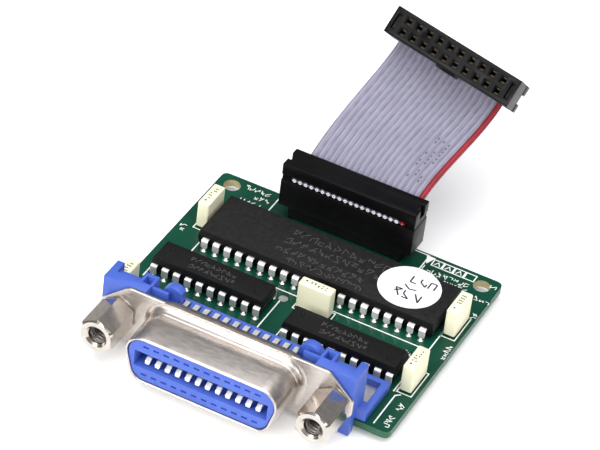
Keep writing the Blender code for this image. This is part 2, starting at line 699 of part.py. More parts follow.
def build_board_locks():
    """A plate in each bracket frame with a peg that is soldered in the board."""
    for place, (x0, x1) in LOCKS.items():
        x = (x0 + x1) / 2
        shape = [
            (x0, x1, -22.7, -16.6, BOARD_T + 0.06, BOARD_T + 0.5),
            (x - 0.7, x + 0.7, LOCK_Y - 0.7, LOCK_Y + 0.7, TAIL_Z, BOARD_T + 0.3),
        ]
        add(f"board_lock_{place}", blocks(shape), TINNED)


# ---- build everything ----
build_board()
for chip, values in CHIPS.items():
    build_chip(chip, *values)
for capacitor, values in CAPACITORS.items():
    build_capacitor(capacitor, *values)
build_header()
build_socket("board_socket", BOARD_SOCKET)
build_socket("far_socket", FAR_SOCKET)
build_ribbon()
build_insert()
build_contacts()
build_shell()
build_rear_shell()
build_bracket()
build_jack_sockets()
build_board_locks()
label = rods([(17.99, 10.1)], 6.4, CHIP_Z1 + 0.03, CHIP_Z1 + 0.12, 36)
add("round_label", label, PAPER)
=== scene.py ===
# %% [markdown]
# # An instrument-bus interface board
#
# A small printed circuit carries three dual in-line chips, five box capacitors, a shielded
# 24-contact receptacle in a right-angle bracket, and a ribbon cable with a socket at each end.
# The CAD frame gives every part its size and its place. This lesson gives each one the look of
# the real thing: moulded epoxy, tinned leads, nickel-plated steel, solder, print and vinyl.
#
# Lengths in the cells are millimetres. X runs along the receptacle, which faces -Y, Z is up,
# and the underside of the board is Z = 0.

import math
import random

import bmesh
import bpy
from mathutils import Matrix, Vector


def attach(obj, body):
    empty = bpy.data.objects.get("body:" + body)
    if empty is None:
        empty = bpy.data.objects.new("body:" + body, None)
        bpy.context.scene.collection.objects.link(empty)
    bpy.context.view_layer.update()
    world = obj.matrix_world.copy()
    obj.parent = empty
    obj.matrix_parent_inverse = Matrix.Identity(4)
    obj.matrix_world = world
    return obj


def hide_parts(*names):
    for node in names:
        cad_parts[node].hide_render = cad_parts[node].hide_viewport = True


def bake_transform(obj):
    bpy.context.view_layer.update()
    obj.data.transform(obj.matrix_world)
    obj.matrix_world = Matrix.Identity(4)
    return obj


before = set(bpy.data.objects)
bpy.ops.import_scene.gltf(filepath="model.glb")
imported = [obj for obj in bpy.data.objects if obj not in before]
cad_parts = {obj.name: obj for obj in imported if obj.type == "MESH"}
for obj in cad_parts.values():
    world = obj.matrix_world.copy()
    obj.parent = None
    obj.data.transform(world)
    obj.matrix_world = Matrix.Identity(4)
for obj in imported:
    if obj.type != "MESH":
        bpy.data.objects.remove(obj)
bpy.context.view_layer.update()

# %% [markdown]
# ## Shapes
#
# Most of the parts are one cross-section carried along a line: a lead, a wire, a drawn shell.
# A grid of quads with its points put in place does all of these, and closing the grid on itself
# makes a tube of it. Turned parts are a spun profile. Parts that CAD already made well, such as
# the bracket, only need their edges rounded, so they are copied, merged and bevelled.


# %% Tools for shapes
def lattice(rows, wrap=False, caps=True):
    """A grid with one point for each place in rows. wrap joins its last column to its first."""
    rows = [[*row, row[0]] if wrap else list(row) for row in rows]
    bm = bmesh.new()
    bmesh.ops.create_grid(bm, x_segments=len(rows[0]) - 1, y_segments=len(rows) - 1, size=1)
    for vert, place in zip(list(bm.verts), [place for row in rows for place in row]):
        vert.co = place
    if wrap:
        bmesh.ops.remove_doubles(bm, verts=bm.verts, dist=1e-5)
        if caps:
            bmesh.ops.holes_fill(bm, edges=[e for e in bm.edges if e.is_boundary], sides=0)
    return bm


def gather(shapes):
    """Several shapes as one."""
    whole = bmesh.new()
    for bm in shapes:
        mesh = bpy.data.meshes.new("part")
        bm.to_mesh(mesh)
        bm.free()
        whole.from_mesh(mesh)
        bpy.data.meshes.remove(mesh)
    return whole


def moved(bm, matrix):
    bm.transform(matrix)
    return bm


def piece(name, bm, finish, body="board", stands_for=(), sharp=35):
    """Makes a shape in millimetres into a finished piece that rides on a CAD body."""
    bmesh.ops.recalc_face_normals(bm, faces=bm.faces)
    bm.transform(Matrix.Scale(0.001, 4))
    mesh = bpy.data.meshes.new(name)
    bm.to_mesh(mesh)
    bm.free()
    mesh.polygons.foreach_set("use_smooth", [True] * len(mesh.polygons))
    mesh.set_sharp_from_angle(angle=math.radians(sharp))
    mesh.materials.append(finish)
    obj = bpy.data.objects.new(name, mesh)
    bpy.context.scene.collection.objects.link(obj)
    if body:
        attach(obj, body)
    if stands_for:
        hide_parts(*stands_for)
    return obj


def carved(bm, tool):
    """The shape with the tool cut away from it."""
    made = []
    for name, shape in (("blank", bm), ("tool", tool)):
        bmesh.ops.recalc_face_normals(shape, faces=shape.faces)
        mesh = bpy.data.meshes.new(name)
        shape.to_mesh(mesh)
        shape.free()
        made.append(bpy.data.objects.new(name, mesh))
        bpy.context.scene.collection.objects.link(made[-1])
    blank, cutter = made
    step = blank.modifiers.new("cut", "BOOLEAN")
    step.operation, step.object, step.solver = "DIFFERENCE", cutter, "EXACT"
    bpy.context.view_layer.update()
    left = bmesh.new()
    left.from_object(blank, bpy.context.evaluated_depsgraph_get())
    for obj in made:
        mesh = obj.data
        bpy.data.objects.remove(obj)
        bpy.data.meshes.remove(mesh)
    bmesh.ops.remove_doubles(left, verts=left.verts, dist=1e-4)
    return left


def rounded_edges(bm, width, segments=2, over=30):
    """Bevels every edge that turns by more than that many degrees."""
    bmesh.ops.dissolve_limit(bm, angle_limit=math.radians(1), verts=bm.verts, edges=bm.edges)
    sharp = [
        e for e in bm.edges if len(e.link_faces) == 2 and e.calc_face_angle(0) > math.radians(over)
    ]
    bmesh.ops.bevel(
        bm,
        geom=sharp,
        offset=width,
        offset_type="OFFSET",
        segments=segments,
        profile=0.5,
        affect="EDGES",
        clamp_overlap=True,
        material=-1,
    )
    return bm


def copy_of(node):
    """A CAD node's own mesh, in millimetres, merged into one skin."""
    bm = bmesh.new()
    bm.from_mesh(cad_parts[node].data)
    bm.transform(Matrix.Scale(1000, 4))
    bmesh.ops.remove_doubles(bm, verts=bm.verts, dist=0.001)
    return bm


def block(x0, x1, y0, y1, z0, z1):
    bm = bmesh.new()
    size = Matrix.Diagonal((x1 - x0, y1 - y0, z1 - z0, 1))
    middle = Matrix.Translation(((x0 + x1) / 2, (y0 + y1) / 2, (z0 + z1) / 2))
    bmesh.ops.create_cube(bm, size=1, matrix=middle @ size)
    return bm


def disc(x, y, radius, z0, z1, sides=32):
    bm = bmesh.new()
    bmesh.ops.create_cone(
        bm,
        cap_ends=True,
        segments=sides,
        radius1=radius,
        radius2=radius,
        depth=z1 - z0,
        matrix=Matrix.Translation((x, y, (z0 + z1) / 2)),
    )
    return bm


def turned(profile, sides=32):
    """A profile of (radius, height) spun about Z, closed where it meets the axis."""
    bm = bmesh.new()
    verts = [bm.verts.new((r, 0, z)) for r, z in profile]
    edges = [bm.edges.new(pair) for pair in zip(verts, verts[1:])]
    bmesh.ops.spin(
        bm,
        geom=verts + edges,
        cent=(0, 0, 0),
        axis=(0, 0, 1),
        angle=2 * math.pi,
        steps=sides,
        use_merge=True,
    )
    bmesh.ops.remove_doubles(bm, verts=bm.verts, dist=1e-4)
    return bm


def bent(stations, steps=5):
    """Points along a bent strip. A station is (a, b, width, bend radius)."""
    out = []
    for k, (a, b, width, radius) in enumerate(stations):
        here = Vector((a, b))
        if not radius or k in (0, len(stations) - 1):
            out.append((here, width))
            continue
        back = (Vector(stations[k - 1][:2]) - here).normalized()
        on = (Vector(stations[k + 1][:2]) - here).normalized()
        half = back.angle(on) / 2
        centre = here + (back + on).normalized() * (radius / math.sin(half))
        first = here + back * (radius / math.tan(half)) - centre
        last = here + on * (radius / math.tan(half)) - centre
        out += [(centre + first.slerp(last, i / steps) * radius, width) for i in range(steps + 1)]
    return out


def strip(x, stations, thickness, corner=0.05):
    """A flat strip across X at x, bent in the YZ plane along its stations."""
    line = bent(stations)
    rows = []
    for k, (point, width) in enumerate(line):
        ahead, behind = line[min(k + 1, len(line) - 1)][0], line[max(k - 1, 0)][0]
        along = (ahead - behind).normalized()
        up = Vector((-along.y, along.x)) * (thickness / 2)
        w, c = width / 2, corner / (thickness / 2)
        ring = [(-w, 1 - c), (-w + corner, 1), (w - corner, 1), (w, 1 - c)]
        ring += [(w, c - 1), (w - corner, -1), (-w + corner, -1), (-w, c - 1)]
        rows.append([(x + u, *(point + up * v)) for u, v in ring])
    return lattice(rows, wrap=True)


def spaced(count, pitch, centre=0.0):
    return [centre + (i - (count - 1) / 2) * pitch for i in range(count)]


# %% [markdown]
# ## Finishes
#
# Every finish is a Principled BSDF with its colour, roughness and a little relief worked out from
# the place on the part. `Value` wraps a socket so that the sums read as sums, and `Finish.node`
# adds any other node.


# %% Tools for finishes
class Value:
    """A shader socket that can stand in a sum, such as 1 - mask * 0.3."""

    def __init__(self, finish, socket):
        self.finish, self.socket = finish, socket

    def maths(self, operation, first, second):
        return self.finish.node("ShaderNodeMath", {"operation": operation}, {0: first, 1: second})

    def __add__(self, other):
        return self.maths("ADD", self, other)

    def __radd__(self, other):
        return self.maths("ADD", other, self)

    def __sub__(self, other):
        return self.maths("SUBTRACT", self, other)

    def __rsub__(self, other):
        return self.maths("SUBTRACT", other, self)

    def __mul__(self, other):
        return self.maths("MULTIPLY", self, other)

    def __rmul__(self, other):
        return self.maths("MULTIPLY", other, self)

    def __gt__(self, other):
        return self.maths("GREATER_THAN", self, other)

    def __abs__(self):
        return self.maths("ABSOLUTE", self, 0.0)


class Finish:
    """One material and the nodes that are added to it."""

    def __init__(self, name):
        self.material = bpy.data.materials.new(name)
        self.material.use_nodes = True
        self.tree = self.material.node_tree
        self.shader = self.tree.nodes["Principled BSDF"]
        self.place = self.node("ShaderNodeTexCoord", {}, {}, "Object")

    def node(self, kind, settings, inputs, output=0):
        made = self.tree.nodes.new(kind)
        for name, value in settings.items():
            setattr(made, name, value)
        for name, value in inputs.items():
            self.feed(made.inputs[name], value)
        return Value(self, made.outputs[output])

    def feed(self, socket, value):
        if isinstance(value, Value):
            self.tree.links.new(value.socket, socket)
        elif socket.type == "RGBA":
            socket.default_value = (*value, 1)
        else:
            socket.default_value = value

    def noise(self, scale, detail=2.0, stretch=(1, 1, 1)):
        place = self.node(
            "ShaderNodeVectorMath", {"operation": "MULTIPLY"}, {0: self.place, 1: stretch}
        )
        return self.node(
            "ShaderNodeTexNoise", {}, {"Vector": place, "Scale": scale, "Detail": detail}
        )

    def spread(self, value, low, high):
        """The value stretched so that low becomes 0 and high becomes 1."""
        return self.node(
            "ShaderNodeMapRange",
            {"interpolation_type": "SMOOTHSTEP"},
            {"Value": value, "From Min": low, "From Max": high},
        )

    def mix(self, amount, first, second):
        return self.node(
            "ShaderNodeMix",
            {"data_type": "RGBA"},
            {"Factor": amount, 6: first, 7: second},
            2,
        )

    def part_of(self, vector, axis):
        return self.node("ShaderNodeSeparateXYZ", {}, {0: vector}, axis)

    def facing_up(self):
        normal = self.node("ShaderNodeTexCoord", {}, {}, "Normal")
        return self.part_of(normal, "Z")

    def relief(self, height, distance, strength=1.0):
        return self.node(
            "ShaderNodeBump",
            {},
            {"Height": height, "Distance": distance, "Strength": strength},
        )

    def done(self, **inputs):
        for name, value in inputs.items():
            self.feed(self.shader.inputs[name.replace("_", " ")], value)
        return self.material


def screen(red, green, blue):
    """A screen colour, 0 to 255, as the light that a shader works in."""
    return tuple(
        c / 12.92 / 255 if c < 10.3 else ((c / 255 + 0.055) / 1.055) ** 2.4
        for c in (red, green, blue)
    )


# %% [markdown]
# The board is glass cloth and resin under a clear green ink, the solder mask. The ink hides the
# cloth on the faces. On the sawn edge and in the drilled holes the bare laminate shows.


# %% Board finishes
def solder_mask():
    m = Finish("solder_mask")
    cloud, fine = m.noise(70.0), m.noise(2600.0, 3.0)
    green = m.mix(m.spread(cloud, 0.3, 0.7), screen(1, 58, 42), screen(4, 71, 52))
    cloth = m.mix(m.noise(900.0, 3.0), screen(150, 138, 98), screen(196, 186, 146))
    sawn = m.mix(m.noise(1400.0), screen(30, 84, 62), screen(62, 102, 80))
    far_x = abs(m.part_of(m.place, "X")) > 0.0312
    far_y = abs(m.part_of(m.place, "Y")) > 0.026
    wall = m.mix(m.node("ShaderNodeMath", {"operation": "MAXIMUM"}, {0: far_x, 1: far_y}), cloth, sawn)
    colour = m.mix(abs(m.facing_up()) > 0.5, wall, green)
    return m.done(
        Base_Color=colour,
        Roughness=0.3 + 0.14 * fine,
        Specular_IOR_Level=0.25,
        Normal=m.relief(fine, 0.000012, 0.5),
    )


def covered_copper():
    m = Finish("copper_under_mask")
    fine = m.noise(2200.0, 3.0)
    colour = m.mix(m.spread(m.noise(300.0), 0.35, 0.65), screen(8, 68, 49), screen(14, 82, 60))
    return m.done(Base_Color=colour, Roughness=0.28 + 0.12 * fine, Normal=m.relief(fine, 0.00001))


def screen_print():
    m = Finish("white_board_print")
    worn = m.spread(m.noise(1800.0, 4.0), 0.25, 0.5)
    colour = m.mix(worn, screen(190, 208, 196), screen(244, 246, 240))
    return m.done(Base_Color=colour, Roughness=0.6 - 0.1 * worn, Normal=m.relief(worn, 0.00001))


def solder():
    m = Finish("solder")
    frost, ripple = m.noise(1500.0, 3.0), m.noise(500.0)
    colour = m.mix(frost, (0.62, 0.62, 0.6), (0.86, 0.85, 0.83))
    return m.done(
        Base_Color=colour,
        Metallic=1.0,
        Roughness=0.2 + 0.2 * frost,
        Normal=m.relief(ripple, 0.00005, 0.6),
    )


BOARD, TRACE, PRINT, SOLDER = solder_mask(), covered_copper(), screen_print(), solder()

# %% [markdown]
# Moulded epoxy is full of crushed silica. It shows as grey specks where the mould was spark
# eroded, on the top of a chip, and much less on its glossier sides. Both are nearly black.


# %% Plastics, vinyl and paper
def moulded_epoxy(name, top_light):
    m = Finish(name)
    speck, mottle = m.noise(3400.0, 4.0), m.noise(900.0, 3.0)
    up = m.facing_up() > 0.8
    grain = m.spread(speck * 0.55 + mottle * 0.45, 0.38, 0.66)
    top = m.mix(grain, screen(*[top_light * 0.55] * 3), screen(top_light, top_light * 0.96, top_light))
    side = m.mix(mottle, screen(7, 7, 8), screen(14, 13, 15))
    return m.done(
        Base_Color=m.mix(up, side, top),
        Roughness=0.42 + 0.2 * up + 0.1 * speck,
        Specular_IOR_Level=0.22,
        Normal=m.relief(speck * up, 0.00003, 0.7),
    )


def moulded_plastic(name, dark, light, rough, specular=0.5):
    m = Finish(name)
    fine, flow = m.noise(2600.0, 3.0), m.noise(120.0, 2.0, (1, 0.3, 1))
    colour = m.mix(m.spread(flow, 0.25, 0.75), screen(*dark), screen(*light))
    return m.done(
        Base_Color=colour,
        Roughness=rough + 0.12 * fine,
        Specular_IOR_Level=specular,
        Normal=m.relief(fine, 0.00001, 0.6),
    )


def vinyl(name, dark, light, painted_groove_shade):
    m = Finish(name)
    fine, along = m.noise(1800.0, 2.0), m.noise(260.0, 3.0)
    colour = m.mix(m.spread(along, 0.3, 0.7), screen(*dark), screen(*light))
    # Painted shade: across the web between the wires, where the grooves lie, the vinyl is darkened towards
    # the groove colour.
    painted_groove_shade_mask = m.node("ShaderNodeAttribute", {"attribute_name": "painted_groove_shade_mask"}, {}, "Fac")
    colour = m.mix(painted_groove_shade_mask, colour, screen(*painted_groove_shade))
    return m.done(
        Base_Color=colour,
        Roughness=0.42 + 0.14 * fine,
        Normal=m.relief(fine, 0.000008, 0.6),
    )


def paper():
    m = Finish("matt_paper")
    fibre = m.noise(1600.0, 5.0, (1, 2.5, 1))
    colour = m.mix(fibre, screen(232, 226, 234), screen(254, 250, 254))
    return m.done(Base_Color=colour, Roughness=0.7 + 0.1 * fibre, Normal=m.relief(fibre, 0.00001))


def ink(name, shade):
    m = Finish(name)
    dry = m.noise(2400.0, 3.0)
    colour = m.mix(dry, screen(*shade), screen(*[c + 34 for c in shade]))
    return m.done(Base_Color=colour, Roughness=0.45 + 0.2 * dry)


EPOXY = moulded_epoxy("ground_epoxy", 33)
SMOOTH_EPOXY = moulded_epoxy("smooth_epoxy", 20)
BLACK = moulded_plastic("black_socket_plastic", (5, 5, 6), (10, 10, 12), 0.32, specular=0.16)
BLUE = moulded_plastic("blue_bus_plastic", (62, 92, 184), (70, 100, 194), 0.38)
CREAM = moulded_plastic("cream_capacitor_case", (236, 233, 200), (243, 240, 210), 0.36)
# The last colour of each vinyl is painted shade for the grooves between the wires.
GREY_VINYL = vinyl("grey_vinyl", (138, 136, 154), (146, 144, 162), (110, 107, 126))
RED_VINYL = vinyl("red_vinyl", (132, 12, 30), (150, 18, 40), (96, 8, 20))
PAPER, PEN, STAMP = paper(), ink("black_pen", (24, 22, 30)), ink("stamped_print", (40, 38, 34))
CHIP_INK = ink("grey_chip_print", (48, 46, 44))

# %% [markdown]
# The steel shell is drawn, then barrel plated in nickel, which leaves a soft grain and small
# knocks. The leads are copper with a bright dip of tin. The pins and contacts have a thin wash of
# gold over nickel.


# %% Metals
def metal(
    name,
    dark,
    light,
    rough,
    spread_of_rough,
    grain=(1, 1, 1),
    knocks=0.00001,
    scale=900.0,
    metallic=1.0,
):
    m = Finish(name)
    fine, cloud = m.noise(scale, 4.0, grain), m.noise(110.0, 3.0)
    colour = m.mix(m.spread(cloud * 0.5 + fine * 0.5, 0.3, 0.7), dark, light)
    return m.done(
        Base_Color=colour,
        Metallic=metallic,
        Roughness=rough + spread_of_rough * fine,
        Normal=m.relief(fine, knocks, 0.6),
    )


NICKEL = metal(
    "drawn_nickel",
    (0.53, 0.49, 0.46),
    (0.68, 0.63, 0.59),
    0.24,
    0.2,
    grain=(0.35, 1, 1),
    knocks=0.000016,
    scale=1600.0,
)
BRIGHT_NICKEL = metal("turned_nickel", (0.52, 0.48, 0.43), (0.66, 0.61, 0.56), 0.16, 0.12)
TIN = metal("bright_tin", (0.78, 0.78, 0.77), (0.94, 0.94, 0.92), 0.36, 0.2, metallic=0.75)
GREY_TIN = metal("dull_tin", (0.5, 0.49, 0.49), (0.68, 0.67, 0.66), 0.3, 0.2)
GOLD = metal("gold_wash", (0.72, 0.52, 0.22), (0.86, 0.66, 0.32), 0.2, 0.15)
SHADED_GOLD = metal("gold_in_shade", (0.1, 0.08, 0.05), (0.16, 0.13, 0.09), 0.5, 0.2)
SHADED_NICKEL = metal("nickel_in_shade", (0.16, 0.15, 0.14), (0.28, 0.26, 0.24), 0.3, 0.2)

FINISH_OF = {
    "circuit_board": (BOARD, "board_green"),
    "header_wafer": (BLACK, "socket_black"),
    "header_pins_front": (GOLD, "contact_gold"),
    "header_pins_back": (GOLD, "contact_gold"),
}
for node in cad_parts:
    if node.startswith("board_lock"):
        FINISH_OF[node] = (GREY_TIN, "tinned_copper")
    elif node.startswith("capacitor") and "_lead_" in node:
        FINISH_OF[node] = (TIN, "tinned_copper")
    elif node.endswith("_contacts"):
        FINISH_OF[node] = (SHADED_GOLD, "contact_gold")
for node, (finish, name) in FINISH_OF.items():
    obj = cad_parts[node]
    obj.data.materials.clear()
    obj.data.materials.append(finish)
print(len(bpy.data.materials), "finishes,", len(FINISH_OF), "CAD nodes shown as they are")

# %% [markdown]
# ## Dual in-line chips
#
# A chip is moulded round its lead frame in two halves that part at the leads, and each half has a
# draft so that it leaves the mould. So the body is a cube, cut at the parting line, with its top
# and bottom drawn in and its edges rounded. The ejector pins leave small dimples.

# %% Chip bodies
BOARD_T, TAIL_Z, PITCH = 1.6, -1.5, 2.54
CHIP_Z0, PARTING_Z, CHIP_Z1 = 2.1, 3.95, 5.55
DRAFT = 0.3
CHIPS = {  # centre, leads a side, row spacing, body length and width
    "bus_controller": (0.93, 9.22, 20, 15.24, 52.2, 13.7),
    "transceiver_left": (-16.4, -7.2, 10, 7.62, 24.7, 6.35),
    "transceiver_right": (13.99, -10.2, 10, 7.62, 24.7, 6.35),
}


def chip_body(cx, cy, length, width):
    bm = block(-length / 2, length / 2, -width / 2, width / 2, CHIP_Z0, CHIP_Z1)
    bmesh.ops.bisect_plane(
        bm, geom=bm.verts[:] + bm.edges[:] + bm.faces[:], plane_co=(0, 0, PARTING_Z), plane_no=(0, 0, 1)
    )
    for vert in bm.verts:
        if abs(vert.co.z - PARTING_Z) > 0.1:
            vert.co.x -= math.copysign(DRAFT, vert.co.x)
            vert.co.y -= math.copysign(DRAFT, vert.co.y)
    bmesh.ops.bevel(
        bm, geom=bm.edges[:], offset=0.1, segments=2, profile=0.5, affect="EDGES", material=-1
    )
    for end in (1, -1):
        dimple = (end * (length / 2 - 2.4), end * (2.0 - width / 2), CHIP_Z1 + 0.2)
        ball = bmesh.new()
        bmesh.ops.create_uvsphere(
            ball, u_segments=20, v_segments=12, radius=0.5, matrix=Matrix.Translation(dimple)
        )
        bm = carved(bm, ball)
    return moved(bm, Matrix.Translation((cx, cy, 0)))


for name, (cx, cy, count, rows, length, width) in CHIPS.items():
    finish = EPOXY if name == "bus_controller" else SMOOTH_EPOXY
    body = chip_body(cx, cy, length, width)
    piece(f"{name}_moulding", body, finish, stands_for=[f"{name}_body"])
print("chip bodies:", ", ".join(CHIPS))

# %% [markdown]
# Each lead leaves the parting line, turns down over a small radius and narrows just above the
# board. Stamping leaves a wide shoulder that shines and a thin tail that goes through the hole.

# %% Chip leads
for name, (cx, cy, count, rows, length, width) in CHIPS.items():
    for side, place in ((-1, "front"), (1, "back")):
        stations = [
            (width / 2 - 0.7, PARTING_Z, 1.4, 0),
            (rows / 2, PARTING_Z, 1.4, 0.42),
            (rows / 2, 2.3, 1.4, 0),
            (rows / 2, 1.95, 0.6, 0),
            (rows / 2, TAIL_Z + 0.3, 0.48, 0),
            (rows / 2, TAIL_Z, 0.3, 0),
        ]
        stations = [(cy + side * y, z, w, r) for y, z, w, r in stations]
        leads = gather([strip(x, stations, 0.25) for x in spaced(count, PITCH, cx)])
        piece(
            f"{name}_{place}_row",
            leads,
            TIN,
            stands_for=[f"{name}_{place}_leads"],
        )
print("leads:", sum(2 * c[2] for c in CHIPS.values()))

# %% [markdown]
# ## Solder joints
#
# Solder wets the lead and the pad and leaves a hollow cone between them. One profile is spun for
# the joints above the board, where the lead comes in, and one for those below, where the wave
# left more.

# %% Solder joints
CAPACITORS = {  # centre, and True where the long side runs along Y
    "capacitor_back_left": (-26.9, 10.8, True),
    "capacitor_front_left": (-29.65, -19.3, True),
    "capacitor_middle": (3.7, -2.6, False),
    "capacitor_back_right": (29.25, 8.9, True),
    "capacitor_front_right": (29.25, -10.75, True),
}
BUS_X, BUS_Z, CONTACT_PITCH = -2.4, 6.2, 2.16
BUS_TAILS = spaced(12, CONTACT_PITCH, BUS_X)
PLUG = Vector((-1.45, 23.1, 4.45))

through = [
    (x, cy + s * rows / 2)
    for cx, cy, count, rows, _, _ in CHIPS.values()
    for x in spaced(count, PITCH, cx)
    for s in (-1, 1)
]
tails = [(x, y) for x in BUS_TAILS for y in (-22.1, -24.5)]
pins = [(x, PLUG.y + s * PITCH / 2) for x in spaced(10, PITCH, PLUG.x) for s in (-1, 1)]
wires = []
for cx, cy, along_y in CAPACITORS.values():
    wires += [(cx, cy + s) if along_y else (cx + s, cy) for s in (-2.5, 2.5)]
upper = [(0.72, 0.0), (0.7, 0.04), (0.5, 0.12), (0.36, 0.3), (0.2, 0.42)]
lower = [(1.0, 0.0), (0.97, -0.07), (0.62, -0.25), (0.36, -0.75), (0.0, -1.1)]
joints = []
for profile, z, holes in (
    (upper, BOARD_T, through + tails),
    (lower, 0, through + tails + pins + wires),
):
    joints += [moved(turned(profile, 14), Matrix.Translation((x, y, z))) for x, y in holes]
piece("solder_joints", gather(joints), SOLDER, sharp=60)
print(len(joints), "solder joints")

# %% [markdown]
# ## Printed outlines and traces
#
# The maker screens white outlines round the parts so that they go in the right way round. They
# are thin enough to be frames cut from a sheet: a grid, inset, with its middle removed. The small
# marks beside them are only strokes, as no text is needed. The copper under the mask shows as
# slightly raised tracks that run from the chips to the receptacle and the header.


# %% Print and traces
PRINT_Z, PRINT_RISE, OUTLINE, FINE_OUTLINE = BOARD_T + 0.002, 0.02, 0.28, 0.24


def frame_line(x0, x1, y0, y1, width=OUTLINE):
    """A printed rectangle."""
    bm = bmesh.new()
    bmesh.ops.create_grid(bm, x_segments=1, y_segments=1, size=0.5)
    bm.transform(
        Matrix.Translation(((x0 + x1) / 2, (y0 + y1) / 2, PRINT_Z))
        @ Matrix.Diagonal((x1 - x0, y1 - y0, 1, 1))
    )
    made = bmesh.ops.inset_region(
        bm, faces=bm.faces[:], thickness=width, use_boundary=True, use_even_offset=True
    )["faces"]
    middle = [f for f in bm.faces if f not in made]
    bmesh.ops.delete(bm, geom=middle, context="FACES")
    up = bmesh.ops.extrude_face_region(bm, geom=bm.faces[:])["geom"]
    raised = [g for g in up if isinstance(g, bmesh.types.BMVert)]
    bmesh.ops.translate(bm, vec=(0, 0, PRINT_RISE), verts=raised)
    return bm


def line(points, width, z=PRINT_Z, rise=PRINT_RISE):
    """A flat stroke through points (x, y)."""
    points = [Vector(p) for p in points]
    rows = []
    for k, point in enumerate(points):
        before = (point - points[k - 1]).normalized() if k else None
        after = (points[k + 1] - point).normalized() if k + 1 < len(points) else None
        along = (before + after).normalized() if before and after else before or after
        across = Vector((-along.y, along.x)) * (width / 2)
        if before and after:
            across /= max(along.dot(after), 0.4)
        a, b = point - across, point + across
        rows.append([(*a, z), (*b, z), (*b, z + rise), (*a, z + rise)])
    return lattice(rows, wrap=True)


def marks(x, y, count, quarter_turns=0, tall=1.25, seed=1, width=0.17):
    """A row of small strokes that reads as print from afar."""
    chance = random.Random(seed)
    made = []
    for k in range(count):
        corners = [(a * 0.32 * tall, b * 0.5 * tall) for a in (-1, 1) for b in (-1, 0, 1)]
        path = chance.sample(corners, 4)
        path = [(k * tall * 0.95 + a, b) for a, b in path]
        made += [line([p, q], width) for p, q in zip(path, path[1:])]
    turn = Matrix.Rotation(quarter_turns * math.pi / 2, 4, "Z")
    return [moved(bm, Matrix.Translation((x, y, 0)) @ turn) for bm in made]


printed = [frame_line(-25.2, 27.9, -0.7, 19.0)]
for x, y0, y1 in ((-29.4, -12.1, -2.3), (-3.3, -13.6, -3.6), (0.9, -15.1, -5.3), (27.2, -15.1, -5.3)):
    printed.append(line([(x, y0), (x, y1)], OUTLINE))
printed.append(line([(28.0, -25.4), (28.0, -16.0), (28.9, -15.2)], OUTLINE))
printed.append(frame_line(-18.4, 15.6, 19.7, 26.1))
for cx, cy, along_y in CAPACITORS.values():
    a, b = (1.65, 4.1) if along_y else (4.1, 1.65)
    printed.append(frame_line(max(cx - a, -31.5), min(cx + a, 31.5), cy - b, cy + b, FINE_OUTLINE))
for x in (16.8, 19.2, 21.6, 24.0):
    printed.append(frame_line(x, x + 2.4, 23.4, 25.6, FINE_OUTLINE))
for x in (18.0, 20.4, 22.8):
    printed.append(line([(x - 0.6, 23.9), (x, 25.0), (x + 0.6, 23.9)], 0.2))
printed.append(line([(15.9, 21.4), (15.9, 22.8)], 0.2))
arrow = [[(14.9, 25.9), (16.9, 25.9)], [(15.9, 23.4), (15.92, 23.4)]]
printed.append(lattice([[(x, y, PRINT_Z) for x, y in row] for row in arrow]))
words = [  # place, number of marks, quarter turns
    (17.3, 21.6, 8, 0),
    (20.0, 19.9, 6, 0),
    (-25.4, 24.6, 5, 0),
    (-22.2, 22.6, 3, 0),
    (-24.4, 20.2, 5, 0),
    (29.0, 19.3, 3, 0),
    (30.9, 13.2, 2, 1),
    (30.8, -1.0, 4, 1),
    (9.6, -4.0, 3, 0),
    (24.4, -3.4, 2, 0),
    (-28.0, -1.3, 4, 0),
    (-30.3, 5.0, 2, 1),
    (30.4, 24.7, 1, 0),
    (-30.6, 16.4, 2, 0),
    (30.4, -19.0, 2, 1),
    (30.2, -24.6, 3, 1),
]
for k, (x, y, count, turns) in enumerate(words):
    printed += marks(x, y, count, turns, tall=1.9 if count == 1 else 1.25, seed=3 + k)
piece("board_print", gather(printed), PRINT, sharp=80)

TRACK, TRACK_RISE, UNDER_Z, UNDER_RISE = 0.3, 0.012, -0.03, 0.028
controller_leads = spaced(20, PITCH, CHIPS["bus_controller"][0])
small_leads = [
    (x, CHIPS[name][1])
    for name in ("transceiver_left", "transceiver_right")
    for x in spaced(10, PITCH, CHIPS[name][0])
]
traces = []
for k, (x, (lead, cy)) in enumerate(zip(BUS_TAILS, small_leads)):
    knee = -13.0 - 0.55 * (k % 6)
    traces.append(line([(x, -21.0), (x, -17.5), (lead, knee), (lead, cy - 4.9)], TRACK, rise=TRACK_RISE))
for x in controller_leads[2:18]:
    path = [(x, 0.4), (x, -0.6), (x + 1.3, -1.9), (x + 1.3, -2.6)]
    traces.append(line(path, TRACK, rise=TRACK_RISE))
for x, pin in zip(controller_leads[1:19], spaced(18, 1.27, PLUG.x)):
    path = [(x, 16.84), (x, 18.2), (pin, 20.0), (pin, 21.8)]
    traces.append(line(path, TRACK, z=UNDER_Z, rise=UNDER_RISE))
for k, (x, lead) in enumerate(zip(BUS_TAILS, controller_leads[4:])):
    path = [(x, -24.5), (x, -19.0), (lead, -11.0 + 0.3 * k), (lead, 1.6)]
    traces.append(line(path, TRACK, z=UNDER_Z, rise=UNDER_RISE))
piece("covered_tracks", gather(traces), TRACE, sharp=80)
pad = disc(-3.0, -2.7, 0.95, BOARD_T + 0.005, BOARD_T + 0.03)
piece("test_pad", pad, GREY_TIN)
print("outlines, marks and", len(traces), "tracks")

# %% [markdown]
# The mould house prints each chip in a thin grey ink. Plain strokes in rows give the same grey
# without saying anything.

